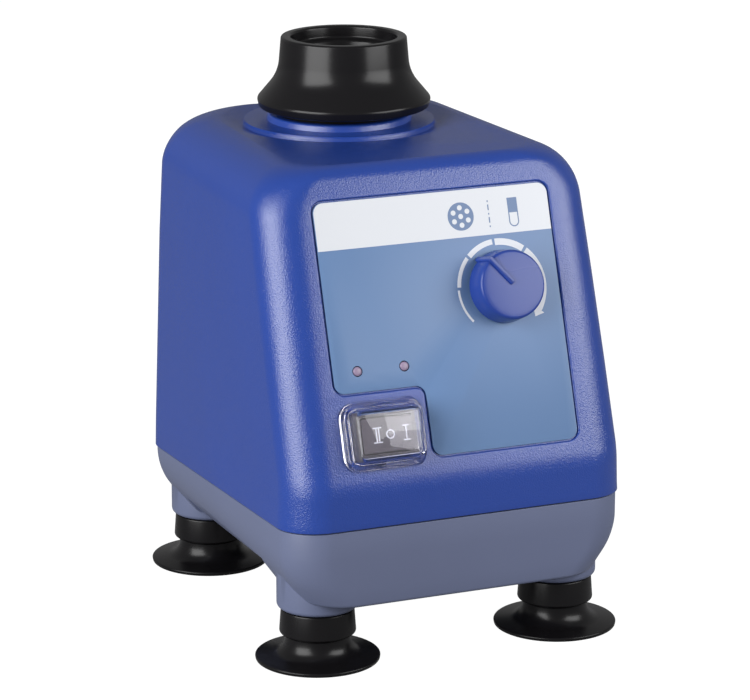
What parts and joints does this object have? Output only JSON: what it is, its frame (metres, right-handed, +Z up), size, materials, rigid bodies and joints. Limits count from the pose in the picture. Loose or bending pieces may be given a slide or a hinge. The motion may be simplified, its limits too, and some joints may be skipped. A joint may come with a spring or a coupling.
{
  "type": "vortex mixer",
  "caption": "Small bench vortex mixer: wedge-shaped blue housing on a grey tray with suction feet, black rubber cup head, speed knob and rocker switch under a clear cap.",
  "frame": {"origin": "on the bench, under the middle of the whole object", "axes": "+X to the right seen from the front, +Y to the rear, +Z up"},
  "size_m": [0.127, 0.1554, 0.1884],
  "materials": {
    "housing_blue": "fine-grained moulded plastic with a soft sheen",
    "tray_grey": "satin moulded plastic",
    "black_rubber": "smooth black rubber, slightly glossy",
    "panel_film": "printed film, satin",
    "clear_cap": "clear flexible plastic cap, glossy",
    "rocker_grey": "dark grey, seen pale through the cap",
    "black_plastic": "black moulded plastic",
    "button_red": "red moulded plastic",
    "lamp_red": "small clear pinkish lens, unlit",
    "steel": "bare steel, satin",
    "iron": "dark iron",
    "brass": "bare brass",
    "board_green": "green circuit board"
  },
  "bodies": {
    "root": {"upper_housing": "housing_blue", "base_tray": "tray_grey", "power_inlet": "black_plastic", "foot_front_left": "black_rubber", "foot_front_right": "black_rubber", "foot_rear_left": "black_rubber", "foot_rear_right": "black_rubber", "foot_screw_front_left": "steel", "foot_screw_front_right": "steel", "foot_screw_rear_left": "steel", "foot_screw_rear_right": "steel", "housing_screw_front_left": "steel", "housing_screw_front_right": "steel", "housing_screw_rear_left": "steel", "housing_screw_rear_right": "steel", "ballast_plate": "iron", "motor_isolator_front_left": "black_rubber", "motor_isolator_front_right": "black_rubber", "motor_isolator_rear_left": "black_rubber", "motor_isolator_rear_right": "black_rubber", "isolator_screw_front_left": "steel", "isolator_screw_front_right": "steel", "isolator_screw_rear_left": "steel", "isolator_screw_rear_right": "steel", "motor_bracket": "steel", "can_screw_left": "steel", "can_screw_right": "steel", "motor_can": "steel", "motor_end_cap": "steel", "motor_stator": "iron", "lower_bearing": "steel", "upper_bearing": "steel", "touch_microswitch": "black_plastic", "switch_bracket": "steel", "touch_spring": "steel", "dust_boot": "black_rubber", "panel_label": "panel_film", "indicator_lens_left": "lamp_red", "indicator_lens_right": "lamp_red", "switch_body": "black_plastic", "switch_cover": "clear_cap", "potentiometer_body": "steel", "potentiometer_nut": "steel", "circuit_board": "board_green", "board_screw_left": "steel", "board_screw_right": "steel"},
    "plunger": {"thrust_plunger": "brass", "microswitch_button": "button_red"},
    "rotor": {"rotor_core": "iron", "rotor_shaft": "steel", "counterweight": "brass", "eccentric_cam": "steel", "cam_set_screw": "steel"},
    "head": {"head_bearing": "steel", "head_holder": "black_plastic", "cup_head": "black_rubber"},
    "knob": {"speed_knob": "housing_blue", "potentiometer_shaft": "steel"},
    "rocker": {"switch_rocker": "rocker_grey"}
  },
  "joints": [
    {"name": "touch_press", "type": "slide", "parent": "root", "child": "plunger", "axis": [0, 0, -1], "range_m": [0, 0.0015], "stiffness_N_per_m": 2000, "springref_m": -0.003, "deforming": ["touch_spring"]},
    {"name": "rotor_spin", "type": "hinge", "parent": "plunger", "child": "rotor", "pos_m": [0, 0.03091, 0.093], "axis": [0, 0, 1], "continuous": true},
    {"name": "head_swing", "type": "hinge", "parent": "rotor", "child": "head", "pos_m": [0.00175, 0.03091, 0.156], "axis": [0, 0, 1], "continuous": true},
    {"name": "knob_turn", "type": "hinge", "parent": "root", "child": "knob", "pos_m": [0.0211, -0.05482, 0.11885], "axis": [0, -0.9486, 0.3165], "range_deg": [-174, 93]},
    {"name": "rocker_tilt", "type": "hinge", "parent": "root", "child": "rocker", "pos_m": [-0.02695, -0.06935, 0.07847], "axis": [0, 0.3165, 0.9486], "range_deg": [-9, 9]}
  ],
  "couplings": [
    {"joint": "head_swing", "follows": "rotor_spin", "ratio": -1}
  ]
}
